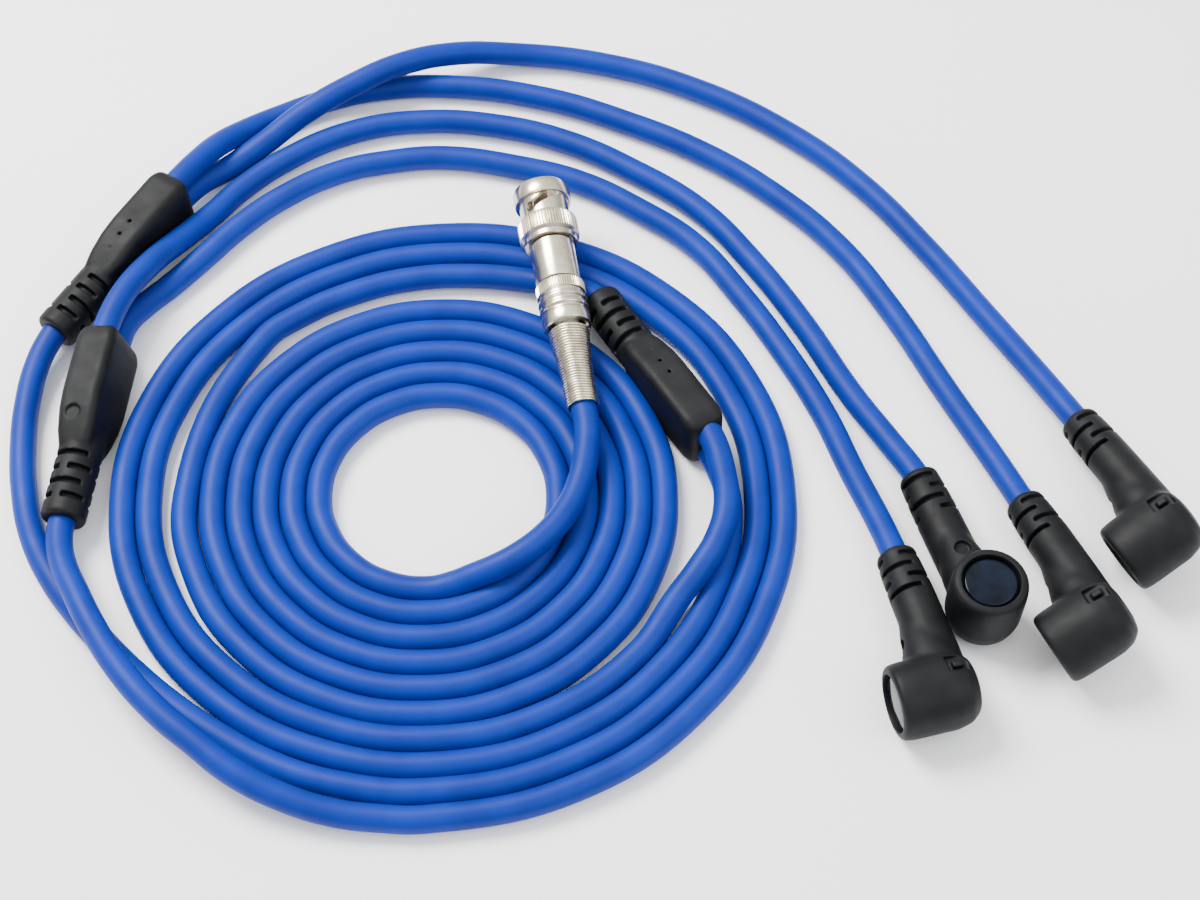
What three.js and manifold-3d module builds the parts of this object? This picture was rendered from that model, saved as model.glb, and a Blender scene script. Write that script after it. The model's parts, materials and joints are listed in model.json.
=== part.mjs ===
// Four-into-one ignition pickup lead set: a BNC plug, a flat coil of round blue cable,
// three moulded Y splitters and four right-angle pickup probes.
// Millimetres, +Z up, everything lying on the plane Z = 0.
import * as THREE from 'three';
import { mergeVertices } from 'three/addons/utils/BufferGeometryUtils.js';
import Module from 'manifold-3d';

const wasm = await Module();
wasm.setup();

// ---------- driving dimensions ----------
const CABLE_R = 3.0; // jacket radius, a 6 mm coaxial lead
const HOME = new THREE.Vector3(1.6, 3.4, 0); // shift that puts the origin under the middle

// the flat windings, as rings lying on the ground
const MAIN_COIL = { x: -39.6, y: -16.5, inner: 21.5, outer: 55.6 }; // five turns of the long lead
const BRANCH_COIL = { x: -33.5, y: -16.6, inner: 68.4, outer: 78.1 }; // the two branch leads

const SPLITTER = { length: 48.5, neckR: 5.1, halfWide: 7.8, halfThin: 4.9, exit: 3.5, bore: 3.25 };
const PROBE = { neck: 36, neckR: 5.2, endR: 4.4, headR: 8.5, faceR: 8.1, back: 5.4, face: 13.0 };

// ---------- materials ----------
function finish(colour, roughness, metalness) {
  return new THREE.MeshStandardMaterial({ color: colour, roughness, metalness });
}
const nickel = () => finish('#b8b0a2', 0.28, 1.0);
const springSteel = () => finish('#b3aa98', 0.32, 1.0);
const goldPlate = () => finish('#c9a252', 0.3, 1.0);
const copper = () => finish('#b87333', 0.4, 1.0);
const rubber = () => finish('#2c2e30', 0.62, 0.0);
const jacket = () => finish('#1f5fc4', 0.42, 0.0);
const glossCap = () => finish('#10141c', 0.12, 0.0);
const ferrite = () => finish('#3a3a3c', 0.6, 0.0);
const nylon = () => finish('#e9e4d6', 0.5, 0.0);
const sealRed = () => finish('#a83b2c', 0.6, 0.0);

// ---------- solid helpers ----------
function weld(geometry) {
  const bare = geometry.clone();
  bare.deleteAttribute('normal');
  bare.deleteAttribute('uv');
  return mergeVertices(bare, 1e-4);
}

function toSolid(geometry) {
  const welded = weld(geometry);
  return new wasm.Manifold(new wasm.Mesh({
    numProp: 3,
    vertProperties: new Float32Array(welded.attributes.position.array),
    triVerts: new Uint32Array(welded.index.array),
  }));
}

function toGeometry(solid) {
  const mesh = solid.getMesh();
  const geometry = new THREE.BufferGeometry();
  geometry.setAttribute('position', new THREE.BufferAttribute(mesh.vertProperties, 3));
  geometry.setIndex(new THREE.BufferAttribute(mesh.triVerts, 1));
  return geometry;
}

function carve(body, cutters) {
  let solid = toSolid(body);
  for (const cutter of cutters) {
    solid = solid.subtract(toSolid(cutter));
  }
  return toGeometry(solid);
}

function fuse(first, second) {
  return toGeometry(toSolid(first).add(toSolid(second)));
}

// A turned piece: closed outline of [radius, height] pairs, turned about Y.
function turned(outline, segments = 32) {
  let area = 0;
  outline.forEach(([r, y], i) => {
    const [nextR, nextY] = outline[(i + 1) % outline.length];
    area += r * nextY - nextR * y;
  });
  const ordered = area > 0 ? outline : [...outline].reverse();
  const open = ordered.map(([r, y]) => new THREE.Vector2(r, y));
  const onAxis = open[0].x === 0 && open[open.length - 1].x === 0;
  if (!onAxis) {
    open.push(open[0].clone());
  }
  return new THREE.LatheGeometry(open, segments);
}

// A plain ring about Y from y0 to y1.
function ring(inner, outer, y0, y1, segments = 32) {
  return turned([[inner, y0], [outer, y0], [outer, y1], [inner, y1]], segments);
}

function rod(radius, y0, y1, segments = 24) {
  return new THREE.CylinderGeometry(radius, radius, y1 - y0, segments).translate(0, (y0 + y1) / 2, 0);
}

function block(x0, x1, y0, y1, z0, z1) {
  return new THREE.BoxGeometry(x1 - x0, y1 - y0, z1 - z0)
    .translate((x0 + x1) / 2, (y0 + y1) / 2, (z0 + z1) / 2);
}

// A cylinder about Y whose section is eased point by point along its length.
function shaped(length, rings, segments, section) {
  const geometry = new THREE.CylinderGeometry(1, 1, length, segments, rings).translate(0, length / 2, 0);
  const place = geometry.attributes.position;
  for (let i = 0; i < place.count; i += 1) {
    const y = place.getY(i);
    const angle = Math.atan2(place.getZ(i), place.getX(i));
    const reach = Math.hypot(place.getX(i), place.getZ(i));
    const [x, z] = section(y, angle);
    place.setXYZ(i, x * reach, y, z * reach);
  }
  return geometry;
}

function mix(from, to, start, end, at) {
  const t = Math.min(1, Math.max(0, (at - start) / (end - start)));
  return from + (to - from) * t * t * (3 - 2 * t);
}

function piece(name, geometry, material) {
  const mesh = new THREE.Mesh(geometry, material);
  mesh.name = name;
  return mesh;
}

// A group whose local Y runs from one point towards another and whose local X stays
// as near as it can to a wanted side.
function alongY(from, to, side) {
  const group = new THREE.Group();
  const yAxis = to.clone().sub(from).normalize();
  const zAxis = side.clone().cross(yAxis).normalize();
  const xAxis = yAxis.clone().cross(zAxis);
  group.quaternion.setFromRotationMatrix(new THREE.Matrix4().makeBasis(xAxis, yAxis, zAxis));
  group.position.copy(from);
  return group;
}

const at = (x, y, z) => new THREE.Vector3(x, y, z);
const leadSet = new THREE.Group();

// ---------- BNC plug ----------
// Local Y is the plug's axis: 0 at the open front, growing towards the cable.
const PLUG = {
  front: at(-14.4, 63.1, 14.3),
  tail: at(-3.7, 2.6, 10.9),
  length: 61.5,
  nutBore: 4.95,
  chamberR: 5.8,
  segments: 28,
};

function couplingNut() {
  const shell = turned([
    [6.5, 0], [6.9, 0.4], [6.9, 4.0], [5.9, 4.6], [5.9, 8.9], [6.7, 9.3], [7.25, 9.7],
    [7.25, 14.1], [6.4, 14.7], [6.4, 16.0], [4.6, 16.0], [4.6, 15.0], [PLUG.chamberR, 15.0],
    [PLUG.chamberR, 9.3], [PLUG.nutBore, 8.9], [PLUG.nutBore, 0.5], [5.3, 0],
  ], PLUG.segments);
  const cutters = [];
  const RIBS = 28;
  for (let i = 0; i < RIBS; i += 1) {
    const groove = block(6.95, 7.6, 10.1, 13.7, -0.3, 0.3);
    cutters.push(groove.rotateY(((i + 0.5) / RIBS) * Math.PI * 2));
  }
  // two bayonet tracks: straight in, then round and back to a round seat
  const ENTRY = { depth: 3.0, angle: 0.87, half: 1.15 };
  const RAMP = { rise: 3.9, swing: Math.PI * 0.42, steps: 4 };
  for (const turn of [ENTRY.angle, ENTRY.angle + Math.PI]) {
    cutters.push(block(4.6, 6.1, -0.5, ENTRY.depth, -ENTRY.half, ENTRY.half).rotateY(turn));
    for (let k = 1; k <= RAMP.steps; k += 1) {
      const y = ENTRY.depth + (RAMP.rise * k) / RAMP.steps;
      const swing = (RAMP.swing * k) / RAMP.steps;
      cutters.push(block(4.6, 5.65, y - ENTRY.half, y + ENTRY.half, -1.2, 1.2).rotateY(turn + swing));
    }
    const seat = rod(1.25, 4.0, 8.0, 12).rotateZ(-Math.PI / 2).translate(0, ENTRY.depth + RAMP.rise, 0);
    cutters.push(seat.rotateY(turn + RAMP.swing));
  }
  return carve(shell, cutters);
}

function plugBody() {
  return turned([
    [3.95, 10.6], [4.3, 10.6], [4.3, 11.6], [3.9, 11.6], [3.9, 12.3], [4.3, 12.3],
    [4.3, 16.3], [5.4, 16.3], [5.4, 27.4], [4.6, 27.6], [4.6, 33.0],
    [3.1, 33.0], [3.1, 23.0], [1.9, 23.0], [1.9, 20.4], [3.45, 20.4], [3.45, 16.4], [3.95, 16.4],
  ], PLUG.segments);
}

function outerContact() {
  const sleeve = turned([
    [3.3, 1.2], [3.65, 1.2], [3.8, 2.0], [3.7, 4.0], [3.7, 16.0], [3.1, 16.0], [3.1, 4.0],
  ], 20);
  const slits = [0, 1, 2, 3].map((i) =>
    block(2.5, 4.5, 0.5, 7.5, -0.2, 0.2).rotateY((i + 0.5) * Math.PI / 2));
  return carve(sleeve, slits);
}

function backshell() {
  return turned([
    [4.95, 27.9], [5.9, 27.9], [5.9, 30.8], [5.4, 31.2], [5.4, 31.8], [5.85, 32.2],
    [5.85, 33.0], [5.4, 33.4], [5.4, 34.0], [5.85, 34.4], [5.85, 35.2], [5.4, 35.6],
    [5.4, 36.2], [5.75, 36.6], [5.75, 39.2], [5.3, 39.8],
    [3.6, 39.8], [3.6, 38.8], [4.95, 38.8],
  ], 24);
}

function strainSpring() {
  const COILS = 9;
  const start = 40.1;
  const step = (PLUG.length - start) / COILS;
  const outline = [];
  for (let i = 0; i < COILS; i += 1) {
    const y = start + step * i;
    const crown = 4.9 - 1.2 * Math.min(1, (i / COILS) * 1.5);
    outline.push([crown - 0.3, y], [crown, y + step * 0.3], [crown, y + step * 0.7]);
  }
  return turned([...outline, [3.6, PLUG.length], [3.3, PLUG.length], [3.3, start]], 16);
}

const plug = alongY(PLUG.front, PLUG.tail, at(1, 0, 0));
plug.add(
  piece('coupling_nut', couplingNut(), nickel()),
  piece('plug_body', plugBody(), nickel()),
  piece('outer_contact', outerContact(), nickel()),
  piece('backshell', backshell(), nickel()),
  piece('strain_spring', strainSpring(), springSteel()),
);
plug.add(piece('plug_insulator', turned([
  [0.95, 5.2], [2.8, 5.2], [2.8, 16.3], [3.15, 16.7], [3.15, 20.1], [0.95, 20.1],
], 20), nylon()));
plug.add(piece('centre_pin', turned([
  [0, 1.6], [0.3, 1.7], [0.66, 2.6], [0.66, 22.4], [0, 22.4],
], 12), goldPlate()));
plug.add(piece('face_seal', ring(4.0, 4.65, 9.3, 10.3, 20), sealRed()));
plug.add(piece('retaining_ring', carve(ring(4.1, 5.4, 11.7, 12.2, 24),
  [block(3.5, 6, 11, 13, -0.8, 0.8)]), springSteel()));
plug.add(piece('wave_washer', ring(4.6, 5.4, 12.5, 13.2, 24), springSteel()));
plug.add(piece('thrust_washer', ring(4.6, 5.5, 14.3, 14.7, 24), nickel()));
plug.add(piece('cable_clamp_bush', ring(3.35, 4.6, 33.3, 38.5, 20), rubber()));
plug.add(piece('cable_core', turned([
  [0, 22.8], [0.45, 22.8], [0.45, 24.6], [1.75, 24.6], [1.75, 32.0], [2.8, 32.0],
  [2.8, 60.0], [0, 60.0],
], 14), jacket()));
leadSet.add(plug);

// ---------- Y splitters ----------
// Local Y runs from the single-cable end to the two-cable end; local X is the direction
// in which the two outgoing cables are stacked.
const RELIEF_SLOTS = { first: 4.6, pitch: 3.6, width: 1.2, floor: 3.75 };

function reliefSlots(count, firstAt, pitch, width, floor, reach) {
  const cutters = [];
  for (let i = 0; i < count; i += 1) {
    const y = firstAt + pitch * i;
    for (const side of [1, -1]) {
      const [a, b] = side > 0 ? [floor, reach] : [-reach, -floor];
      cutters.push(i % 2 === 1
        ? block(a, b, y - width / 2, y + width / 2, -reach, reach)
        : block(-reach, reach, y - width / 2, y + width / 2, a, b));
    }
  }
  return cutters;
}

function splitterBoot() {
  const s = SPLITTER;
  const section = (y, angle) => {
    const wide = mix(s.neckR, s.halfWide, 17, 31, y) - mix(0, 0.9, 44, s.length, y);
    const thin = mix(s.neckR, s.halfThin, 17, 31, y) - mix(0, 0.7, 44, s.length, y);
    const square = mix(1.0, 0.62, 17, 31, y); // round neck, rounded-box body
    const c = Math.cos(angle);
    const d = Math.sin(angle);
    return [
      Math.sign(c) * Math.abs(c) ** square * wide,
      Math.sign(d) * Math.abs(d) ** square * thin,
    ];
  };
  const body = shaped(s.length, 10, 20, section);
  const { first, pitch, width, floor } = RELIEF_SLOTS;
  return carve(body, [
    rod(s.bore, -1, 25, 16),
    block(-5.4, 5.4, 24.8, 34, -2.9, 2.9),
    rod(s.bore, 33, s.length + 1, 16).translate(s.exit, 0, 0),
    rod(s.bore, 33, s.length + 1, 16).translate(-s.exit, 0, 0),
    ...reliefSlots(4, first, pitch, width, floor, 7),
  ]);
}

const CRIMP = { radius: 1.1, hole: 1.4, offset: 2.9 };

function splitterCore() {
  return carve(block(-5.0, 5.0, 25.2, 33.6, -2.5, 2.5), [
    rod(CRIMP.hole, 24, 35, 12).translate(CRIMP.offset, 0, 0),
    rod(CRIMP.hole, 24, 35, 12).translate(-CRIMP.offset, 0, 0),
  ]);
}

function crimp(side) {
  return rod(CRIMP.radius, 25.6, 33.2, 10).translate(side * CRIMP.offset, 0, 0);
}

const SPLITTERS = [
  // the middle of the single-cable end and of the two-cable end, and the way the cables are stacked
  { name: 'main_splitter', neck: at(-0.3, 36.6, 6.4), wide: at(24.9, -4.9, 8.6), up: at(0, 0, 1) },
  { name: 'front_splitter', neck: at(-120.3, -24.5, 6.4), wide: at(-114.8, 24.4, 8.9), up: at(-0.22, 0.02, 1) },
  { name: 'rear_splitter', neck: at(-129.3, 27.0, 6.4), wide: at(-103.8, 68.2, 8.6), up: at(0, 0, 1) },
];
for (const { name, neck, wide, up } of SPLITTERS) {
  const group = alongY(neck, wide, up);
  group.add(piece(`${name}_boot`, splitterBoot(), rubber()));
  group.add(piece(`${name}_core`, splitterCore(), nylon()));
  group.add(piece(`${name}_signal_crimp`, crimp(1), copper()));
  group.add(piece(`${name}_shield_crimp`, crimp(-1), copper()));
  leadSet.add(group);
}

// ---------- pickup probes ----------
// Local Y runs from the head's axis up the neck to the cable; local X points out of the
// sensing face.
function probeBoot() {
  const p = PROBE;
  const neck = shaped(p.neck, 6, 16, (y, angle) => {
    const r = mix(p.neckR, p.endR, 18, p.neck - 3, y);
    return [Math.cos(angle) * r, Math.sin(angle) * r];
  });
  const head = turned([
    [0, -p.back], [p.headR - 4.0, -p.back], [p.headR - 1.2, -p.back + 1.3],
    [p.headR, -p.back + 4.2], [p.headR, p.face - 3.6], [p.faceR, p.face - 1.0],
    [p.faceR - 0.5, p.face], [0, p.face],
  ], 24).rotateZ(-Math.PI / 2);
  const solid = fuse(neck, head);
  return carve(solid, [
    rod(3.25, 19, p.neck + 1, 16),
    rod(6.35, 2.0, p.face + 1, 24).rotateZ(-Math.PI / 2),
    rod(2.2, 5.0, 19.5, 12),
    block(-4.0, 1.0, 0.4, 4.6, -12, -7.0), // moulded window on the upper side
    ...reliefSlots(4, 24.6, 3.0, 1.1, 3.6, 7),
  ]);
}

const PROBES = [
  // the head's middle, the cable's entry, and which way the sensing face looks
  { head: at(74.4, -67.1, 8.6), entry: at(65.8, -33.4, 5.2), face: at(-1, -0.25, 0) },
  { head: at(83.6, -46.1, 5.5), entry: at(72.3, -12.6, 5.2), face: at(0, 0, 1) },
  { head: at(107.8, -52.3, 13.0), entry: at(95.4, -19.2, 5.6), face: at(-0.9, -0.3, -0.45) },
  { head: at(125.0, -29.6, 13.0), entry: at(109.9, 3.4, 5.6), face: at(-0.9, -0.3, -0.45) },
];
PROBES.forEach(({ head, entry, face }, i) => {
  const name = `probe_${i + 1}`;
  const group = alongY(head, entry, face);
  const turn = -Math.PI / 2; // turned pieces lie along local X
  group.add(piece(`${name}_boot`, probeBoot(), rubber()));
  group.add(piece(`${name}_sensing_disc`, rod(5.7, 11.2, 12.9, 28).rotateZ(turn), glossCap()));
  group.add(piece(`${name}_bobbin`, turned([
    [1.9, 2.6], [5.9, 2.6], [5.9, 3.6], [2.9, 3.6], [2.9, 9.6], [5.9, 9.6], [5.9, 10.6], [1.9, 10.6],
  ], 20).rotateZ(turn), nylon()));
  group.add(piece(`${name}_winding`, ring(3.2, 5.4, 3.9, 9.3, 20).rotateZ(turn), copper()));
  group.add(piece(`${name}_ferrite_core`, rod(1.6, 2.4, 10.8, 14).rotateZ(turn), ferrite()));
  leadSet.add(group);
});

// ---------- cable ----------
// Plain solids for the free cable: tubes where it runs, a ring where it is wound.
function cableTube(name, route, steps) {
  const path = new THREE.CatmullRomCurve3(route.map(([x, y, z]) => at(x, y, z)), false, 'centripetal');
  const section = new THREE.Shape();
  section.absarc(0, 0, CABLE_R, 0, Math.PI * 2);
  const geometry = new THREE.ExtrudeGeometry(section, {
    steps, extrudePath: path, bevelEnabled: false, curveSegments: 5,
  });
  return piece(name, geometry, jacket());
}

function woundRing(name, { x, y, inner, outer }) {
  const turns = ring(inner, outer, 0, 2 * CABLE_R, 48).rotateX(Math.PI / 2);
  return piece(name, turns.translate(x, y, 0), jacket());
}

// the long lead drops from the plug's tail across the wound turns
leadSet.add(cableTube('main_lead_plug_end', [
  [-3.6, 2.2, 10.9], [-3.6, -2.5, 10.4], [-4.5, -8, 9.7], [-6.4, -14.5, 9.5], [-9.9, -21, 9.5],
], 3));
leadSet.add(woundRing('main_coil', MAIN_COIL));
leadSet.add(cableTube('main_lead_splitter_end', [
  [-80, 27.5, 3.1], [-72, 34.5, 3.1], [-60, 41, 3.1], [-46, 45.3, 3.1], [-30, 46.3, 3.1], [-17, 44.9, 3.1],
  [-8.8, 41.6, 4.3], [-1, 37.4, 6.2],
], 6));

// the two branch leads make one turn round it
leadSet.add(cableTube('branch_a_splitter_end', [
  [25.1, -5.3, 12], [26.3, -12, 11.4], [25.9, -20.5, 8.6], [22.3, -30, 4.9], [18.8, -39.7, 3.1],
  [11.5, -51.3, 3.1], [-1, -62.5, 3.1], [-17, -71.6, 3.1], [-34, -76.2, 3.1], [-50, -75, 3.1],
], 8));
leadSet.add(cableTube('branch_b_splitter_end', [
  [25.2, -5.4, 5], [27.2, -9.5, 4], [28.9, -15, 3.2], [29.2, -22, 3.1],
], 2));
leadSet.add(woundRing('branch_coil', BRANCH_COIL));
leadSet.add(cableTube('branch_a_rear_end', [
  [-106.6, -52.6, 3], [-115, -45, 3], [-122, -36.5, 3], [-127.2, -27, 3], [-131, -15, 3],
  [-133.2, -2, 3], [-133.6, 9, 3.8], [-132.4, 18.6, 5.2], [-129.7, 26.4, 6.2],
], 6));
leadSet.add(cableTube('branch_b_front_end', [
  [-99, -62.5, 9.5], [-106.5, -55.5, 9.8], [-113, -46.5, 9.5], [-117.6, -37, 8.4], [-119.9, -30, 6.7],
  [-120.4, -25, 6.3],
], 4));

// the four probe leads
leadSet.add(cableTube('probe_1_lead', [
  [-114.1, 24.3, 5.4], [-110.6, 33, 3.8], [-103.9, 42.5, 3.1], [-96.8, 52, 3.1], [-89, 61.5, 3.1],
  [-80, 70, 3.1], [-66, 78.6, 3.1], [-53, 82.2, 3.1], [-39, 83.5, 3.1], [-21, 80.5, 3.1],
  [-5, 75.5, 3.1], [10, 66.5, 3.1], [23, 56, 3.1], [34, 40.5, 3.1], [43, 25, 3.1], [52, 6.5, 3.1],
  [57.6, -9, 3.1], [63.1, -24, 4], [65.4, -32, 5.1],
], 13));
leadSet.add(cableTube('probe_2_lead', [
  [-115.6, 24.1, 12.2], [-113.3, 34, 11.7], [-108.6, 45.5, 8.8], [-102.6, 55.8, 5], [-96.4, 64.5, 3.2],
  [-90, 73, 3.1], [-79, 83, 3.1], [-64, 91.6, 3.1], [-46, 95.4, 3.1], [-25, 93.8, 3.1],
  [-8, 88.5, 3.1], [8, 79.5, 3.1], [25, 66.5, 3.1], [37, 51, 3.1], [48, 33, 3.1], [58, 14.5, 3.1],
  [67.6, -4, 4], [71.9, -11.6, 5.1],
], 13));
leadSet.add(cableTube('probe_3_lead', [
  [-103.6, 68.6, 12], [-101.4, 77, 11.2], [-97.6, 87, 7.8], [-90, 94.2, 3.9], [-78, 101, 3.1],
  [-60, 106.2, 3.1], [-39.5, 107.4, 3.1], [-14, 103.2, 3.1], [6, 95.5, 3.1], [26, 85, 3.1],
  [43.5, 71.5, 3.1], [58.5, 55.2, 3.1], [70, 36, 3.1], [81, 13, 3.1], [90.2, -8, 3.9],
  [95.3, -18.9, 5.5],
], 13));
leadSet.add(cableTube('probe_4_lead', [
  [-103.4, 68.8, 5.1], [-98.2, 74.6, 3.8], [-91.4, 81, 3.7], [-83.5, 88.6, 6.4], [-74, 95.6, 9],
  [-60, 104.4, 10.1], [-48, 110.8, 10], [-36, 115.3, 7], [-24, 117.3, 3.6], [0, 115.3, 3.2],
  [25, 106.2, 3.1], [49, 90.7, 3.1], [66, 74, 3.1], [80, 54.5, 3.1], [92, 35.2, 3.2],
  [104, 15, 4], [110.2, 2.9, 5.6],
], 13));

leadSet.children.forEach((child) => child.position.add(HOME));

export default leadSet;
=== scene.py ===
# %% [markdown]
# # A four-into-one ignition pickup lead set
# A BNC plug, a flat coil of blue coaxial lead, three moulded rubber Y splitters and four
# right-angle pickup probes. The CAD model gives every place and size; here each visible piece
# is modelled again with the finish that the real one has.

# %% Load the frame
import json
import math

import bpy
from mathutils import Matrix, Vector


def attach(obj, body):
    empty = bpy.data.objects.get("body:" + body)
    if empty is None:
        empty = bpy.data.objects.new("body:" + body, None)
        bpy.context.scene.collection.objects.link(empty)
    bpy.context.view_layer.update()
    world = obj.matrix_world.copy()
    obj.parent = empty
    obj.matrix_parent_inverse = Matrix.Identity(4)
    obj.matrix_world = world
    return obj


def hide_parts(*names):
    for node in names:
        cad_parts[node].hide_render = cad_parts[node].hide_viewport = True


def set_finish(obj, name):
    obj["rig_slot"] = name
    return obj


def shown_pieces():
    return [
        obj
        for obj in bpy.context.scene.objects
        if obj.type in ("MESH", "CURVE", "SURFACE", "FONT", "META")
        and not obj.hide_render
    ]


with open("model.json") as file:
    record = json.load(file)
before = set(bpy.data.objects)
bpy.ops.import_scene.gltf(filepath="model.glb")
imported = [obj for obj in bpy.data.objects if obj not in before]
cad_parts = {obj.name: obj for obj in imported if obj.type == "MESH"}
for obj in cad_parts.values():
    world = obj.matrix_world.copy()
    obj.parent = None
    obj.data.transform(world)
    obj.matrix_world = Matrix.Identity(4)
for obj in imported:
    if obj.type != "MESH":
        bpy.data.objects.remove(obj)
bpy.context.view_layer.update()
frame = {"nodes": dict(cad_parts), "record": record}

# %% [markdown]
# Lengths below are written in millimetres, as on a drawing. `place` moves a point to where the
# CAD has it and turns it into metres, and `frame_along` gives the turn and place of a moulding
# that runs from one point to another with one side facing a wanted way.

# %% Millimetres, places and turned frames
MM = 0.001
HOME = Vector((1.6, 3.4, 0.0))  # the shift that puts the origin under the middle of the set
UP = Vector((0, 0, 1))


def place(x, y, z):
    return (Vector((x, y, z)) + HOME) * MM


def frame_along(start, end, side):
    along = (end - start).normalized()
    across = side.cross(along).normalized()
    turn = Matrix((along.cross(across), along, across)).transposed().to_4x4()
    return Matrix.Translation(start) @ turn @ Matrix.Scale(MM, 4)


def local(frame_matrix, x, y, z):
    """A point given in a moulding's own millimetres, in the row frame."""
    return frame_matrix @ Vector((x, y, z))


PLUG = frame_along(place(-14.4, 63.1, 14.3), place(-3.7, 2.6, 10.9), Vector((1, 0, 0)))
LEANING_LEFT = Vector((-0.22, 0.02, 1))
SPLITTERS = {
    "main": frame_along(place(-0.3, 36.6, 6.4), place(24.9, -4.9, 8.6), UP),
    "front": frame_along(place(-120.3, -24.5, 6.4), place(-114.8, 24.4, 8.9), LEANING_LEFT),
    "rear": frame_along(place(-129.3, 27.0, 6.4), place(-103.8, 68.2, 8.6), UP),
}
LOOKING_LEFT_DOWN = Vector((-0.9, -0.3, -0.45))
PROBES = [
    frame_along(place(74.4, -67.1, 8.6), place(65.8, -33.4, 5.2), Vector((-1, -0.25, 0))),
    frame_along(place(83.6, -46.1, 5.5), place(72.3, -12.6, 5.2), UP),
    frame_along(place(107.8, -52.3, 13.0), place(95.4, -19.2, 5.6), LOOKING_LEFT_DOWN),
    frame_along(place(125.0, -29.6, 13.0), place(109.9, 3.4, 5.6), LOOKING_LEFT_DOWN),
]
print("mouldings placed:", len(SPLITTERS) + len(PROBES))

# %% [markdown]
# The camera looks down on the set from the front, steeply, as from someone's eye over a bench.

# %% Camera
bpy.ops.object.camera_add(location=(0.0016, -0.2526, 0.407), rotation=(math.radians(32), 0, 0))
camera = bpy.context.object
camera.data.lens = 62.0
camera.data.sensor_width = 36.0
camera.data.clip_start = 0.02
bpy.context.scene.camera = camera
print("camera", tuple(round(value, 4) for value in camera.location))

# %% [markdown]
# The cable is a 6 mm coaxial lead in a soft PVC jacket. Each free length is one smooth Bezier
# curve with a round section. A curve keeps the section round through every bend, and its route
# stays easy to read. The long lead is wound flat, one jacket beside the next, so its turns come
# from a loop; the loose stretches are listed points.

# %% Cable routes: helpers
CABLE_R = 3.0
INSIDE = 1.2  # how far a cable goes into a moulding before it is out of sight


def lay_cable(name, points):
    """A round cable through these points, given in metres."""
    curve = bpy.data.curves.new(name, "CURVE")
    curve.dimensions = "3D"
    curve.bevel_depth = 1.0  # the knots carry the radius, so the curve's own box stays true
    curve.bevel_resolution = 7
    curve.resolution_u = 9
    curve.use_fill_caps = True
    spline = curve.splines.new("BEZIER")
    spline.bezier_points.add(len(points) - 1)
    for knot, point in zip(spline.bezier_points, points):
        knot.co = point
        knot.radius = CABLE_R * MM
        knot.handle_left_type = knot.handle_right_type = "AUTO"
    cable = bpy.data.objects.new(name, curve)
    bpy.context.collection.objects.link(cable)
    print(name, "length", round(spline.calc_length(), 3), "m")
    return cable


def route(*points):
    return [place(*point) for point in points]


def wound(centre, first_radius, growth, stretch, start, end, steps_per_turn=16):
    """Points of a flat winding, clockwise from the front, turns counted from the first."""
    steps = round((end - start) * steps_per_turn)
    points = []
    for step in range(steps + 1):
        turn = start + (end - start) * step / steps
        radius = first_radius + growth * turn
        angle = 2 * math.pi * turn
        x = centre[0] - (radius + stretch) * math.sin(angle)
        y = centre[1] - radius * math.cos(angle)
        points.append(place(x, y, CABLE_R))
    return points


def neck_of(splitter):
    return [local(SPLITTERS[splitter], 0, INSIDE, 0)]


def exit_of(splitter, height):
    moulding = SPLITTERS[splitter]
    return [local(moulding, height, SPLITTER_LENGTH - INSIDE, 0)]


SPLITTER_LENGTH = 48.5
UPPER, LOWER = 3.5, -3.5
PROBE_NECK = 36.0
TURN_PITCH = 6.05
print("cable diameter", 2 * CABLE_R, "mm")

# %% The long lead: from the plug's spring into the coil and out to the main splitter
MAIN_CENTRE = (-38.1, -15.7)
MAIN_FIRST_R = 24.2
SPRING_END = 61.5
long_lead = lay_cable(
    "long_lead",
    [local(PLUG, 0, SPRING_END - 1.4, 0)]
    + route((-2.9, -2.5, 10.4), (-3.2, -9, 9.9), (-4.8, -17, 9.5), (-7.8, -24, 9.4), (-12, -29.6, 9.3))
    + route((-16.8, -33.8, 9.1), (-22, -36.6, 8.1), (-27.5, -38.1, 6.1), (-33, -39.3, 4))
    + wound(MAIN_CENTRE, MAIN_FIRST_R, TURN_PITCH, 0, 0, 5.25)
    + route((-80, 27.5, 3.1), (-72, 34.5, 3.1), (-60, 41, 3.1), (-46, 45.3, 3.1), (-30, 46.3, 3.1))
    + route((-18, 45.1, 3.1), (-9.6, 42.5, 4.4), (-4.6, 40.1, 5.5), (-1.3, 37.8, 6.2))
    + neck_of("main"),
)

# %% The two branch leads: one turn round the coil, side by side
PAIR_CENTRE = (-36.4, -14.5)
PAIR_FIRST_R = 61.4
PAIR_GROWTH = 11.9
PAIR_STRETCH = 1.7
branch_a = lay_cable(
    "branch_lead_a",
    exit_of("main", UPPER)
    + route((25.1, -5.3, 12), (27.6, -14.5, 11.2), (28.2, -22.5, 10), (26.2, -30, 9), (22, -37, 7.6))
    + route((17, -43.3, 5.2))
    + wound(PAIR_CENTRE, PAIR_FIRST_R, PAIR_GROWTH, PAIR_STRETCH, -0.13, 1.0)
    + route((-55.2, -86.1, 3), (-69, -81.7, 3), (-81.2, -75, 3))
    + route((-91.2, -68.2, 3), (-100.6, -60.4, 3), (-108.8, -52.4, 3), (-115.6, -45, 3))
    + route((-122, -36.5, 3), (-127.2, -27, 3))
    + route((-131, -15, 3), (-133.2, -2, 3), (-133.6, 9, 3.8), (-132.4, 18.6, 5.2))
    + route((-129.7, 26.4, 6.2))
    + neck_of("rear"),
)
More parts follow.
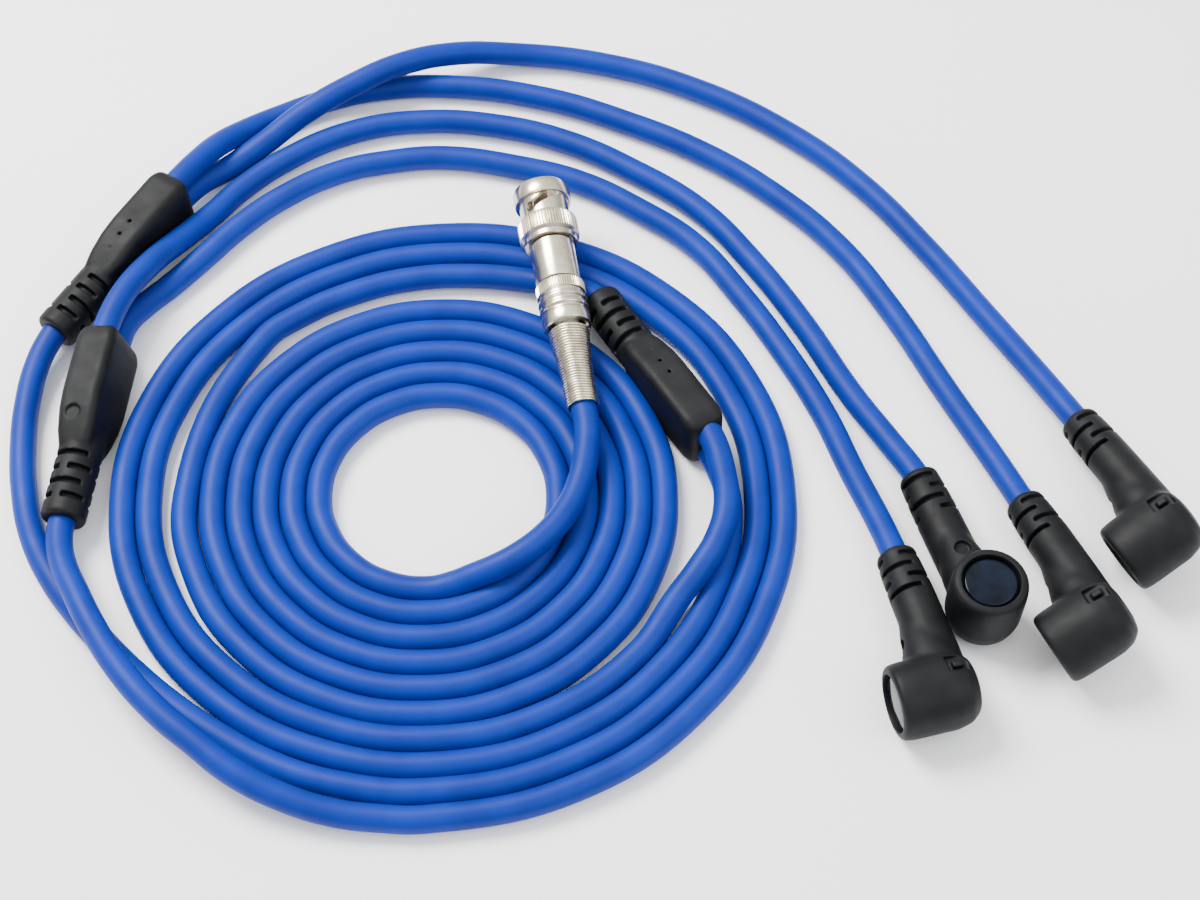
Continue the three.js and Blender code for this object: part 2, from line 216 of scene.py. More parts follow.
branch_b = lay_cable(
    "branch_lead_b",
    exit_of("main", LOWER)
    + route((25.2, -5.4, 5), (27.2, -9.5, 4), (28.9, -15, 3.2), (29.2, -22, 3.1))
    + wound(PAIR_CENTRE, PAIR_FIRST_R + TURN_PITCH, PAIR_GROWTH, PAIR_STRETCH, -0.2, 1.0)
    + route((-46, -93.7, 3.2), (-55.8, -92.7, 4), (-67, -89.6, 5.7), (-76.2, -85.4, 7.6))
    + route((-84.6, -79.2, 8.8), (-93.6, -72, 9.6), (-102, -62.9, 9.8), (-109.8, -51.6, 9.5))
    + route((-114.4, -43.5, 8.7), (-118.1, -36.5, 7.7), (-120, -30.8, 6.8), (-120.5, -25.6, 6.4))
    + neck_of("front"),
)


# %% The four probe leads: from the second pair of splitters across the back to the probes
def probe_lead(number, splitter, height, *points):
    into_boot = local(PROBES[number - 1], 0, PROBE_NECK - INSIDE, 0)
    return lay_cable(f"probe_lead_{number}", exit_of(splitter, height) + route(*points) + [into_boot])


probe_leads = [
    probe_lead(
        1, "front", LOWER,
        (-114.1, 24.3, 5.5), (-112.8, 30.6, 5.2), (-109.6, 36.6, 4), (-104.2, 43.2, 3.1),
        (-96.8, 52, 3.1), (-89, 61.5, 3.1), (-80, 70, 3.1), (-66, 78.6, 3.1), (-53, 82.2, 3.1),
        (-39, 83.5, 3.1), (-21, 80.5, 3.1),
        (-5, 75.5, 3.1), (10, 66.5, 3.1), (23, 56, 3.1), (34, 40.5, 3.1), (43, 25, 3.1),
        (52, 6.5, 3.1), (57.6, -9, 3.1), (63.1, -24, 4), (65.4, -32, 5.1),
    ),
    probe_lead(
        2, "front", UPPER,
        (-115.6, 24.1, 12.2), (-113.1, 34, 11.8), (-107.8, 45.5, 9.6), (-101.5, 56, 6.3),
        (-95.4, 65.3, 3.9), (-90, 73, 3.1), (-79, 83, 3.1), (-64, 91.6, 3.1),
        (-46, 95.4, 3.1), (-25, 93.8, 3.1),
        (-8, 88.5, 3.1), (8, 79.5, 3.1), (25, 66.5, 3.1), (37, 51, 3.1), (48, 33, 3.1),
        (59.2, 11.2, 3.1), (66.2, -0.8, 3.7), (71.7, -11.2, 5.1),
    ),
    probe_lead(
        3, "rear", UPPER,
        (-103.6, 68.6, 12), (-99.8, 75.4, 11), (-95.6, 83, 8.6), (-89.7, 90.4, 5.5),
        (-81.5, 96.9, 3.5),
        (-71, 102.3, 3.1), (-58, 106.2, 3.1), (-39.5, 107.4, 3.1), (-14, 103.2, 3.1), (6, 95.5, 3.1),
        (26, 85, 3.1),
        (43.5, 71.5, 3.1), (58.5, 55.2, 3.1), (70, 36, 3.1), (81, 13, 3.1), (91, -8, 3.9),
        (95.3, -18.9, 5.5),
    ),
    probe_lead(
        4, "rear", LOWER,
        (-103.4, 68.8, 5.1), (-99.6, 74.1, 4.6), (-93.5, 79.5, 3.8), (-84.5, 86.4, 5.6),
        (-75, 93.6, 8.4),
        (-62.5, 102, 10), (-50, 109.2, 10), (-37.5, 114.6, 7.6), (-24, 117.6, 4.3), (0, 115.3, 3.1),
        (25, 106.2, 3.1), (49, 90.7, 3.1), (66, 74, 3.1), (80, 54.5, 3.1), (92, 35.2, 3.2),
        (104, 15, 4), (110.2, 2.9, 5.6),
    ),
]


# %% Declare every cable
def declare(cable, stand_ins):
    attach(cable, "root")
    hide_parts(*stand_ins)
    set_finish(cable, "blue_jacket")


declare(long_lead, ["main_lead_plug_end", "main_coil", "main_lead_splitter_end"])
declare(branch_a, ["branch_a_splitter_end", "branch_coil", "branch_a_rear_end"])
declare(branch_b, ["branch_b_splitter_end", "branch_b_front_end"])
for number, cable in enumerate(probe_leads, 1):
    declare(cable, [f"probe_{number}_lead"])


# %% [markdown]
# ## Modelling tools
# The mouldings are modelled upright in millimetres about their own axis, local Y running from
# the first named end to the other, and then settled into the set with one matrix. Turned parts
# grow from a circle that is extruded and scaled from station to station, as on a lathe drawing.

# %% Modelling helpers
def deselect():
    if bpy.context.object and bpy.context.object.mode != "OBJECT":
        bpy.ops.object.mode_set(mode="OBJECT")
    bpy.ops.object.select_all(action="DESELECT")


def only(piece):
    deselect()
    piece.select_set(True)
    bpy.context.view_layer.objects.active = piece
    return piece


def named_fresh(name):
    """Names the primitive just added and applies its place and turn."""
    piece = bpy.context.object
    piece.name = name
    piece.data.name = name
    bpy.ops.object.transform_apply(location=True, rotation=True, scale=True)
    return piece


def turned(name, outline, segments, hollow=False):
    """A piece of revolution about Y through these (radius, height) stations."""
    deselect()
    radius, height = outline[0]
    bpy.ops.mesh.primitive_circle_add(vertices=segments, radius=radius, location=(0, height, 0),
                                      rotation=(-math.pi / 2, 0, 0),
                                      fill_type="NOTHING" if hollow else "NGON")
    piece = named_fresh(name)
    bpy.ops.object.mode_set(mode="EDIT")
    bpy.ops.mesh.select_all(action="SELECT")
    extrude = bpy.ops.mesh.extrude_edges_move if hollow else bpy.ops.mesh.extrude_region_move
    for next_radius, next_height in outline[1:]:
        extrude(TRANSFORM_OT_translate={"value": (0, next_height - height, 0)})
        scale = next_radius / radius
        bpy.ops.transform.resize(value=(scale, 1, scale), center_override=(0, next_height, 0))
        radius, height = next_radius, next_height
    bpy.ops.mesh.select_all(action="SELECT")
    bpy.ops.mesh.remove_doubles(threshold=0.001)
    bpy.ops.mesh.normals_make_consistent(inside=False)
    bpy.ops.object.mode_set(mode="OBJECT")
    return piece


def box(name, low, high):
    """A rectangular block between two corners."""
    deselect()
    low, high = Vector(low), Vector(high)
    bpy.ops.mesh.primitive_cube_add(size=1, location=(low + high) / 2)
    bpy.context.object.scale = high - low
    return named_fresh(name)


def spun(piece, angles):
    """Turns a piece about the origin by these angles and applies the turn."""
    only(piece).rotation_euler = angles
    bpy.ops.object.transform_apply(location=True, rotation=True, scale=True)
    return piece


def arc_cutter(height, middle, half_angle, inner, outer, width):
    """A slice of a ring about Y, to cut a slot; angles in degrees from +X towards -Z."""
    deselect()
    bpy.ops.mesh.primitive_plane_add(size=1, location=((inner + outer) / 2, height, 0))
    bpy.context.object.scale = (outer - inner, width, 1)
    cutter = named_fresh("cutter")
    bpy.ops.object.mode_set(mode="EDIT")
    bpy.ops.mesh.select_all(action="SELECT")
    bpy.ops.mesh.spin(steps=12, angle=math.radians(2 * half_angle), center=(0, 0, 0), axis=(0, 1, 0))
    bpy.ops.mesh.select_all(action="SELECT")
    bpy.ops.mesh.normals_make_consistent(inside=False)
    bpy.ops.object.mode_set(mode="OBJECT")
    swept = sum((v.co.z for v in cutter.data.vertices)) > 0
    start = middle + half_angle if swept else middle - half_angle
    return spun(cutter, (0, math.radians(start), 0))


def apply_modifier(piece, kind, **settings):
    only(piece)
    modifier = piece.modifiers.new(kind.title(), kind)
    for key, value in settings.items():
        setattr(modifier, key, value)
    bpy.ops.object.modifier_apply(modifier=modifier.name)


def joined(pieces):
    deselect()
    for piece in pieces:
        piece.select_set(True)
    bpy.context.view_layer.objects.active = pieces[0]
    bpy.ops.object.join()
    return pieces[0]


def cut(piece, cutters):
    for cutter in cutters:
        apply_modifier(piece, "BOOLEAN", operation="DIFFERENCE", solver="EXACT", object=cutter)
        bpy.data.objects.remove(cutter)


COARSE_GRAIN, FINE_GRAIN = 0.42, 0.24


def melt(piece, grain, rounds):
    """Moulds overlapping shells into one skin and rounds its corners."""
    apply_modifier(piece, "REMESH", mode="VOXEL", voxel_size=grain)
    apply_modifier(piece, "SMOOTH", factor=0.5, iterations=rounds)


def smooth(piece, degrees=35):
    only(piece)
    bpy.ops.object.shade_smooth_by_angle(angle=math.radians(degrees))


def settled(piece, matrix, name, node, slot, body="root"):
    """Puts a modelled piece in its place in the set, in metres, and hands it to its body."""
    piece.name = name
    piece.data.name = name
    piece.matrix_world = matrix
    only(piece)
    bpy.ops.object.transform_apply(location=True, rotation=True, scale=True)
    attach(piece, body)
    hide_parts(node)
    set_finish(piece, slot)
    print(name, len(piece.data.polygons), "faces")
    return piece


def copied(piece):
    twin = piece.copy()
    twin.data = piece.data.copy()
    bpy.context.collection.objects.link(twin)
    return twin


# %% [markdown]
# ## The Y splitter
# Each splitter is one rubber moulding: a round neck with alternate slots that let it flex,
# growing into a flat box from which two cables leave one above the other. Neck and box are two
# overlapping shells melted into one skin with a voxel remesh, because a moulding has no hard
# seam between them; the slots are cut after that, and a last fine melt rounds their lips.

# %% Splitter
CASE_X, CASE_Z = 7.8, 4.9
CASE_LOW, CASE_TOP = 30.5, 45.0


def splitter_skin():
    neck = turned("neck", [(4.6, 0), (5.1, 0.7), (5.1, 17), (4.9, 24), (4.4, 30)], 64)
    case = box("case", (-CASE_X, CASE_LOW, -CASE_Z), (CASE_X, CASE_TOP, CASE_Z))
    bpy.ops.object.mode_set(mode="EDIT")
    face_at(case, CASE_LOW)
    for height, wide, thin in ((26, 0.93, 0.99), (21, 0.77, 0.93), (16.5, 0.6, 0.76)):
        grow(case, height, wide, thin)
    face_at(case, CASE_TOP)
    grow(case, SPLITTER_LENGTH, 0.9, 0.88)
    bpy.ops.object.mode_set(mode="OBJECT")
    apply_modifier(case, "BEVEL", width=1.9, segments=5, limit_method="ANGLE",
                   angle_limit=math.radians(50))
    skin = joined([neck, case])
    melt(skin, COARSE_GRAIN, 7)
    return skin


def face_at(piece, height):
    """Selects only the end face at this height."""
    bpy.ops.object.mode_set(mode="OBJECT")
    mesh = piece.data
    for group in (mesh.vertices, mesh.edges, mesh.polygons):
        group.foreach_set("select", [False] * len(group))
    for face in mesh.polygons:
        face.select = abs(face.center.y - height) < 1e-3 and abs(face.normal.y) > 0.99
    bpy.ops.object.mode_set(mode="EDIT")
    bpy.ops.mesh.select_mode(type="FACE")


def grow(piece, height, wide, thin):
    """Extrudes the selected end face to a height and scales it to a share of the full section."""
    bpy.ops.object.mode_set(mode="OBJECT")
    chosen = [face for face in piece.data.polygons if face.select][0]
    now = chosen.center.y
    half_wide = max(abs(piece.data.vertices[i].co.x) for i in chosen.vertices)
    half_thin = max(abs(piece.data.vertices[i].co.z) for i in chosen.vertices)
    bpy.ops.object.mode_set(mode="EDIT")
    bpy.ops.mesh.extrude_region_move(TRANSFORM_OT_translate={"value": (0, height - now, 0)})
    bpy.ops.transform.resize(value=(CASE_X * wide / half_wide, 1, CASE_Z * thin / half_thin),
                             center_override=(0, height, 0))


RELIEF_STATIONS = (4.6, 8.2, 11.8, 15.4)


def relieved(skin, roll):
    """Cuts the flex slots and the ejector marks, then rounds every lip."""
    cutters = []
    for number, height in enumerate(RELIEF_STATIONS):
        if number % 2 == 0:
            arcs = [(angle, 33) for angle in (20, 110, 200, 290)]
        else:
            arcs = [(60, 64), (240, 64)]
        for middle, half in arcs:
            cutters.append(arc_cutter(height, middle + roll, half, 3.5, 7.5, 1.35))
    cutters.append(marker((8.05, 24.6, 0.6), 1.85, 0))
    cutters.append(marker((0, 22.4, -6.2), 1.8, 90))
    for height in (23.5, 27.6, 31.6):
        cutters.append(marker((-8.05, height, 0), 0.42, 0))
    joined_cutters = joined(cutters)
    cut(skin, [joined_cutters])
    melt(skin, FINE_GRAIN, 3)
    smooth(skin, 60)
    return skin


def marker(centre, radius, turn, depth=3.2):
    """A short drum whose end sinks into the skin, as an ejector pin leaves."""
    deselect()
    bpy.ops.mesh.primitive_cylinder_add(vertices=32, radius=radius, depth=depth, location=centre,
                                        rotation=(0, math.radians(90 - turn), 0))
    return named_fresh("marker")


HALF_TURN = Matrix.Rotation(math.pi, 4, "Y")
SPLITTER_ROLL = {"main": -32, "front": -70, "rear": 0}
plain_skin = splitter_skin()
for name, matrix in SPLITTERS.items():
    boot = relieved(copied(plain_skin), SPLITTER_ROLL[name])
    side = matrix if name == "front" else matrix @ HALF_TURN
    settled(boot, side, f"{name}_splitter_rubber", f"{name}_splitter_boot", "boot_rubber")
bpy.data.objects.remove(plain_skin)

# %% [markdown]
# ## The pickup probe
# A right-angle rubber boot: the slotted neck comes in from the cable and grows into a drum whose
# open end holds the glossy sensing disc. The neck and drum are melted coarsely first, which gives
# the soft fillet where they meet, and the crisp details are cut afterwards.

# %% Probe boot
def facing_side(piece):
    """Turns a piece of revolution from the Y axis onto the X axis, where the drum points."""
    return spun(piece, (0, 0, -math.pi / 2))


def probe_boot():
    neck = turned("neck", [(4.2, 36.0), (4.6, 35.3), (4.9, 30), (5.1, 24), (5.2, 12), (5.2, 0)], 64)
    shoulder = turned("shoulder", [(3.5, 22), (5.7, 15), (7.4, 9), (8.0, 2)], 64)
    only(shoulder)
    bpy.ops.transform.resize(value=(0.84, 1, 0.78), center_override=(0, 0, 0))
    bpy.ops.transform.translate(value=(1.4, 0, 0))
    bpy.ops.object.transform_apply(location=True, rotation=True, scale=True)
    drum = facing_side(turned("drum", [
        (3.2, -5.4), (6.0, -4.7), (7.7, -2.6), (8.4, 0.4), (8.4, 9.6), (8.2, 12.2), (7.6, 13.0),
    ], 72))
    skin = joined([neck, shoulder, drum])
    melt(skin, COARSE_GRAIN, 16)
    cutters = []
    for number, height in enumerate((24.6, 27.6, 30.6, 33.6)):
        arcs = [(58, 56), (238, 56)] if number % 2 == 0 else [(150, 64), (330, 64)]
        for middle, half in arcs:
            cutters.append(arc_cutter(height, middle, half, 3.4, 7.0, 1.15))
    cutters.append(marker((6.75, 12.6, 0), 1.8, 0))
    window = box("window", (-4.0, 0.2, -12), (1.0, 4.4, -5.7))
    cut(window, [box("raised_pad", (-2.7, 1.5, -6.9), (-0.4, 3.1, -5.5))])
    seat = facing_side(turned("seat", [(6.35, 10.6), (6.35, 16)], 64))
    parting = facing_side(turned("parting", [
        (8.15, 8.9), (9.5, 8.9), (9.5, 9.15), (8.15, 9.15), (8.15, 8.9),
    ], 72, hollow=True))
    cut(skin, [joined(cutters), window, seat, parting])
    melt(skin, FINE_GRAIN, 3)
    smooth(skin, 60)
    return skin


def sensing_disc():
    disc = facing_side(turned("disc", [
        (5.2, 10.9), (5.7, 11.1), (5.7, 11.9), (5.62, 12.08), (5.4, 12.2), (2.5, 12.3), (0.6, 12.32),
    ], 96))
    smooth(disc, 40)
    return disc


boot_master, disc_master = probe_boot(), sensing_disc()
for number, matrix in enumerate(PROBES, 1):
    boot, disc = copied(boot_master), copied(disc_master)
    settled(boot, matrix, f"probe_{number}_rubber", f"probe_{number}_boot", "boot_rubber")
    settled(disc, matrix, f"probe_{number}_cap", f"probe_{number}_sensing_disc", "gloss_cap")
for master in (boot_master, disc_master):
    bpy.data.objects.remove(master)

# %% [markdown]
# ## The BNC plug
# The coupling nut, body and backshell are turned brass, nickel plated. Their knurls are fine
# ribs: the ring of faces in the knurled band is drawn in at every other column.

# %% Knurling helper
KNURL_RIBS = 64


def knurled(piece, low, high, depth, radius):
    """Draws in every other column of a turned piece between two heights."""
    only(piece)
    mesh = piece.data
    for group in (mesh.vertices, mesh.edges, mesh.polygons):
        group.foreach_set("select", [False] * len(group))
    for vertex in mesh.vertices:
        angle = math.atan2(vertex.co.z, vertex.co.x) / (2 * math.pi) * KNURL_RIBS
        in_band = low - 1e-3 <= vertex.co.y <= high + 1e-3
        outside = math.hypot(vertex.co.x, vertex.co.z) > radius - 0.35
        vertex.select = in_band and outside and (angle + 0.25) % 1.0 < 0.45
    bpy.ops.object.mode_set(mode="EDIT")
    bpy.ops.mesh.select_mode(type="VERT")
    scale = 1 - depth / radius
    bpy.ops.transform.resize(value=(scale, 1, scale), center_override=(0, 0, 0))
    bpy.ops.object.mode_set(mode="OBJECT")


# %% [markdown]
# The nut has two bayonet tracks. Each starts with an entry at the rim and climbs round a quarter
# of the wall to a round seat, where the jack's pin comes to rest.

# %% Coupling nut
TRACK_STEPS = 12
TRACK_START, TRACK_RISE, TRACK_SWING = 3.0, 3.9, 75
TRACK_HALF, PIN_SEAT_R = 1.12, 1.35


def coupling_nut():
    nut = turned("nut", [
        (5.3, 0), (6.45, 0), (6.75, 0.12), (6.9, 0.42), (6.9, 3.55), (6.78, 3.85), (6.5, 4.0), (6.0, 4.1),
        (5.9, 4.4), (5.9, 8.9), (6.35, 9.1), (6.95, 9.45), (7.2, 9.7), (7.25, 9.95), (7.25, 13.85),
        (7.15, 14.15), (6.75, 14.5), (6.42, 14.75), (6.4, 15.8), (6.2, 16.0), (4.85, 16.0), (4.7, 15.0),
        (5.8, 15.0), (5.8, 9.3), (4.95, 8.9), (4.95, 0.5), (5.3, 0),
    ], 4 * KNURL_RIBS, hollow=True)
    knurled(nut, 9.9, 13.9, 0.34, 7.25)
    for side in (50, 230):
        track = [box("entry", (4.3, -1, -TRACK_HALF), (6.3, TRACK_START, TRACK_HALF))]
        for step in range(TRACK_STEPS + 1):
            share = step / TRACK_STEPS
            radius = TRACK_HALF if share < 1 else PIN_SEAT_R
            drum = marker((5.3, TRACK_START + TRACK_RISE * share, 0), radius, 0, depth=2.0)
            track.append(spun(drum, (0, math.radians(TRACK_SWING * share), 0)))
        cut(nut, [spun(cutter, (0, math.radians(side), 0)) for cutter in track])
    smooth(nut, 30)
    return nut


settled(coupling_nut(), PLUG, "nut_shell", "coupling_nut", "nickel_plate", "nut")


# %% Body and backshell
def plug_body():
    body = turned("body", [
        (3.95, 10.6), (4.3, 10.6), (4.3, 11.6), (3.95, 11.6), (3.95, 12.3), (4.3, 12.3), (4.3, 16.25),
        (5.1, 16.25), (5.4, 16.5), (5.4, 27.1), (5.3, 27.35), (4.6, 27.55), (4.6, 33.0), (3.1, 33.0),
        (3.1, 23.0), (1.9, 23.0), (1.9, 20.4), (3.45, 20.4), (3.45, 16.4), (3.95, 16.4), (3.95, 10.6),
    ], 128, hollow=True)
    smooth(body, 30)
    return body


def backshell():
    shell = turned("shell", [
        (4.95, 27.9), (5.6, 27.9), (5.85, 28.05), (5.9, 28.3), (5.9, 30.5), (5.8, 30.8), (5.45, 31.0),
        (5.35, 31.3), (5.35, 31.75), (5.5, 31.95), (5.8, 32.1), (5.85, 32.3), (5.85, 32.95), (5.75, 33.15),
        (5.45, 33.3), (5.35, 33.6), (5.35, 34.0), (5.5, 34.2), (5.8, 34.35), (5.85, 34.55), (5.85, 35.15),
        (5.75, 35.35), (5.45, 35.55), (5.35, 35.8), (5.35, 36.15), (5.5, 36.4), (5.72, 36.6), (5.75, 36.8),
        (5.75, 39.2), (5.6, 39.55), (5.2, 39.8), (4.3, 39.8), (4.3, 38.8), (4.95, 38.8), (4.95, 27.9),
    ], 4 * KNURL_RIBS, hollow=True)
    knurled(shell, 28.2, 30.6, 0.3, 5.9)
    smooth(shell, 30)
    return shell


settled(plug_body(), PLUG, "plug_barrel", "plug_body", "nickel_plate")
settled(backshell(), PLUG, "plug_backshell", "backshell", "nickel_plate")


# %% [markdown]
# The strain relief is a close-wound wire spring that tapers onto the cable. A real helix shows
# its wires one by one, so it is a curve with a round section, worked out by a loop.

# %% Strain-relief spring
SPRING_R, SPRING_TAPER, TAPER_RATE = 4.62, 1.12, 1.45


def strain_spring():
    turns, wire, start, end = 29, 0.36, 40.15, 61.3
    steps_per_turn = 28
    curve = bpy.data.curves.new("spring", "CURVE")
    curve.dimensions = "3D"
    curve.bevel_depth = wire
    curve.bevel_resolution = 2
    curve.use_fill_caps = True
    spline = curve.splines.new("POLY")
    count = turns * steps_per_turn
    spline.points.add(count)
    for step in range(count + 1):
        share = step / count
        taper = min(1.0, share * TAPER_RATE)
        radius = SPRING_R - SPRING_TAPER * taper * (1.6 - 0.6 * taper)
        angle = 2 * math.pi * step / steps_per_turn
        height = start + wire + (end - start - 2 * wire) * share
        spline.points[step].co = (radius * math.cos(angle), height, radius * math.sin(angle), 1)
    helix = bpy.data.objects.new("spring", curve)
    bpy.context.collection.objects.link(helix)
    only(helix)
    bpy.ops.object.convert(target="MESH")
    helix = bpy.context.object
    bpy.ops.object.mode_set(mode="EDIT")
    bpy.ops.mesh.select_all(action="SELECT")
    bpy.ops.mesh.remove_doubles(threshold=0.001)
    bpy.ops.mesh.normals_make_consistent(inside=False)
    bpy.ops.object.mode_set(mode="OBJECT")
    smooth(helix, 60)
    return helix


settled(strain_spring(), PLUG, "relief_spring", "strain_spring", "spring_steel")

# %% [markdown]
# ## Finishes
# One function turns a hex colour to linear light, one adds a node with its settings and links,
# and one starts a finish: a Principled shader whose plain numbers sit on its own sockets.

# %% Finish helpers
def linear(hex_colour):
    channels = [int(hex_colour[i:i + 2], 16) / 255 for i in (1, 3, 5)]
    return [c / 12.92 if c <= 0.04045 else ((c + 0.055) / 1.055) ** 2.4 for c in channels] + [1.0]


def add_node(tree, kind, settings=(), links=()):
    """Adds a node, sets its properties or sockets, and links its inputs to other outputs."""
    node = tree.nodes.new(kind)
    for key, value in dict(settings).items():
        if key in node.inputs:
            node.inputs[key].default_value = value
        else:
            setattr(node, key, value)
    for key, output in dict(links).items():
        tree.links.new(output, node.inputs[key])
    return node


def finish_named(name, **numbers):
    material = bpy.data.materials.new(name)
    material.use_nodes = True
    shader = material.node_tree.nodes["Principled BSDF"]
    for key, value in numbers.items():
        shader.inputs[key.replace("_", " ")].default_value = value
    return material, material.node_tree, shader


def mottled(tree, source, light, dark, scale, detail=3.0, low=0.35, high=0.65):
    """Two colours mixed by a soft noise; scale is patches per metre."""
    noise = add_node(tree, "ShaderNodeTexNoise", {"Scale": scale, "Detail": detail}, {"Vector": source})
    ramp = add_node(tree, "ShaderNodeValToRGB", {}, {"Fac": noise.outputs["Fac"]})
    ramp.color_ramp.elements[0].position, ramp.color_ramp.elements[1].position = low, high
    ramp.color_ramp.elements[0].color, ramp.color_ramp.elements[1].color = linear(dark), linear(light)
    return ramp.outputs["Color"]


def grained(tree, source, shader, scale, distance, strength, detail=2.0):
    """A fine bump; scale is grains per metre and distance its height in metres."""
    noise = add_node(tree, "ShaderNodeTexNoise", {"Scale": scale, "Detail": detail}, {"Vector": source})
    bump = add_node(tree, "ShaderNodeBump", {"Strength": strength, "Distance": distance},
                    {"Height": noise.outputs["Fac"]})
    tree.links.new(bump.outputs["Normal"], shader.inputs["Normal"])
    return noise


def varied_roughness(tree, source, shader, scale, low, high):
    noise = add_node(tree, "ShaderNodeTexNoise", {"Scale": scale, "Detail": 4.0}, {"Vector": source})
    spread = add_node(tree, "ShaderNodeMapRange", {"To Min": low, "To Max": high},
                      {"Value": noise.outputs["Fac"]})
    tree.links.new(spread.outputs["Result"], shader.inputs["Roughness"])


def object_place(tree):
    return add_node(tree, "ShaderNodeTexCoord").outputs["Object"]


# %% [markdown]
# The jacket is extruded PVC, dyed blue right through. Extruding leaves it smooth with a soft
# sheen and a faint orange peel; handling leaves slightly duller patches.

# %% Blue PVC jacket
def extruded_pvc():
    material, tree, shader = finish_named("extruded_blue_pvc", Roughness=0.5, IOR=1.5,
                                          Specular_IOR_Level=0.15)
    where = object_place(tree)
    blue = mottled(tree, where, "#042888", "#03227A", 90.0)
    tree.links.new(blue, shader.inputs["Base Color"])
    varied_roughness(tree, where, shader, 160.0, 0.42, 0.58)
    grained(tree, where, shader, 900.0, 0.00004, 0.18)
    return material


# %% [markdown]
# The boots are moulded thermoplastic rubber: nearly black, satin, with a fine spark-eroded grain
# copied from the mould and cloudy grey patches of bloom.

# %% Moulded black rubber
def moulded_rubber():
    material, tree, shader = finish_named("moulded_black_rubber", Roughness=0.6, IOR=1.5,
                                          Specular_IOR_Level=0.17)
    where = object_place(tree)
    tone = mottled(tree, where, "#101214", "#060709", 170.0, 5.0, 0.3, 0.72)
    tree.links.new(tone, shader.inputs["Base Color"])
    varied_roughness(tree, where, shader, 260.0, 0.46, 0.68)
    grained(tree, where, shader, 2600.0, 0.00006, 0.35, 3.0)
    return material


# %% [markdown]
# Nickel plate over turned brass: a warm grey mirror with faint rings left by the lathe tool.
# The rings run round the plug, so the pattern is turned to the plug's own axis with a Mapping
# node and then squeezed along it.

# %% Nickel plate and spring wire
def along_plug(tree, rings_per_metre, sideways):
    turn = PLUG.to_3x3().normalized().transposed().to_euler()
    mapped = add_node(tree, "ShaderNodeMapping", {"vector_type": "POINT", "Rotation": turn},
                      {"Vector": object_place(tree)})
    squeezed = add_node(tree, "ShaderNodeMapping", {"Scale": (sideways, rings_per_metre, sideways)},
                        {"Vector": mapped.outputs["Vector"]})
    return squeezed.outputs["Vector"]


def nickel_plate():
    material, tree, shader = finish_named("turned_nickel_plate", Metallic=1.0, Roughness=0.24)
    where = object_place(tree)
    tone = mottled(tree, where, "#D8D0BF", "#C4BAA6", 220.0)
    tree.links.new(tone, shader.inputs["Base Color"])
    varied_roughness(tree, where, shader, 500.0, 0.17, 0.32)
    grained(tree, along_plug(tree, 4500.0, 60.0), shader, 1.0, 0.00002, 0.25)
    return material


def spring_wire():
    material, tree, shader = finish_named("drawn_nickel_wire", Metallic=1.0, Roughness=0.26)
    where = object_place(tree)
    tone = mottled(tree, where, "#D6CDBB", "#B9AE98", 400.0)
    tree.links.new(tone, shader.inputs["Base Color"])
    varied_roughness(tree, where, shader, 800.0, 0.2, 0.36)
    grained(tree, where, shader, 3000.0, 0.00002, 0.15)
    return material


# %% [markdown]
# The probe's cap is a polished black resin disc. It picks up hairline scratches: long thin
# streaks from a noise squeezed across one direction.

# %% Polished resin cap
def polished_cap():
    material, tree, shader = finish_named("polished_black_resin", Roughness=0.15, IOR=1.45,
                                          Specular_IOR_Level=0.35, Specular_Tint=(0.35, 0.37, 0.4, 1.0))
    where = object_place(tree)
    tone = mottled(tree, where, "#0E1624", "#070B12", 200.0)
    tree.links.new(tone, shader.inputs["Base Color"])
    squeezed = add_node(tree, "ShaderNodeMapping",
                        {"Rotation": (0.3, 0.2, 0.5), "Scale": (2400.0, 60.0, 2400.0)}, {"Vector": where})
    streaks = add_node(tree, "ShaderNodeTexNoise", {"Scale": 1.0, "Detail": 4.0},
                       {"Vector": squeezed.outputs["Vector"]})
    wear = add_node(tree, "ShaderNodeMapRange",
                    {"From Min": 0.58, "From Max": 0.72, "To Min": 0.1, "To Max": 0.45},
                    {"Value": streaks.outputs["Fac"]})
    tree.links.new(wear.outputs["Result"], shader.inputs["Roughness"])
    bump = add_node(tree, "ShaderNodeBump", {"Strength": 0.1, "Distance": 0.00003},
                    {"Height": streaks.outputs["Fac"]})
    tree.links.new(bump.outputs["Normal"], shader.inputs["Normal"])
    return material


# %% [markdown]
# Small parts keep their CAD shape and get the finish of their real stuff. Each is a soft
# two-tone colour with a grain that fits how it was made: bright plated pins, waxy PTFE, moulded
# nylon, soft silicone, pressed ferrite and enamelled wire.

# %% Small-part finishes
def small_finish(name, light, dark, patches, grains, grain_height, **numbers):
    material, tree, shader = finish_named(name, **numbers)
    where = object_place(tree)
    tree.links.new(mottled(tree, where, light, dark, patches), shader.inputs["Base Color"])
    grained(tree, where, shader, grains, grain_height, 0.3)
    return material


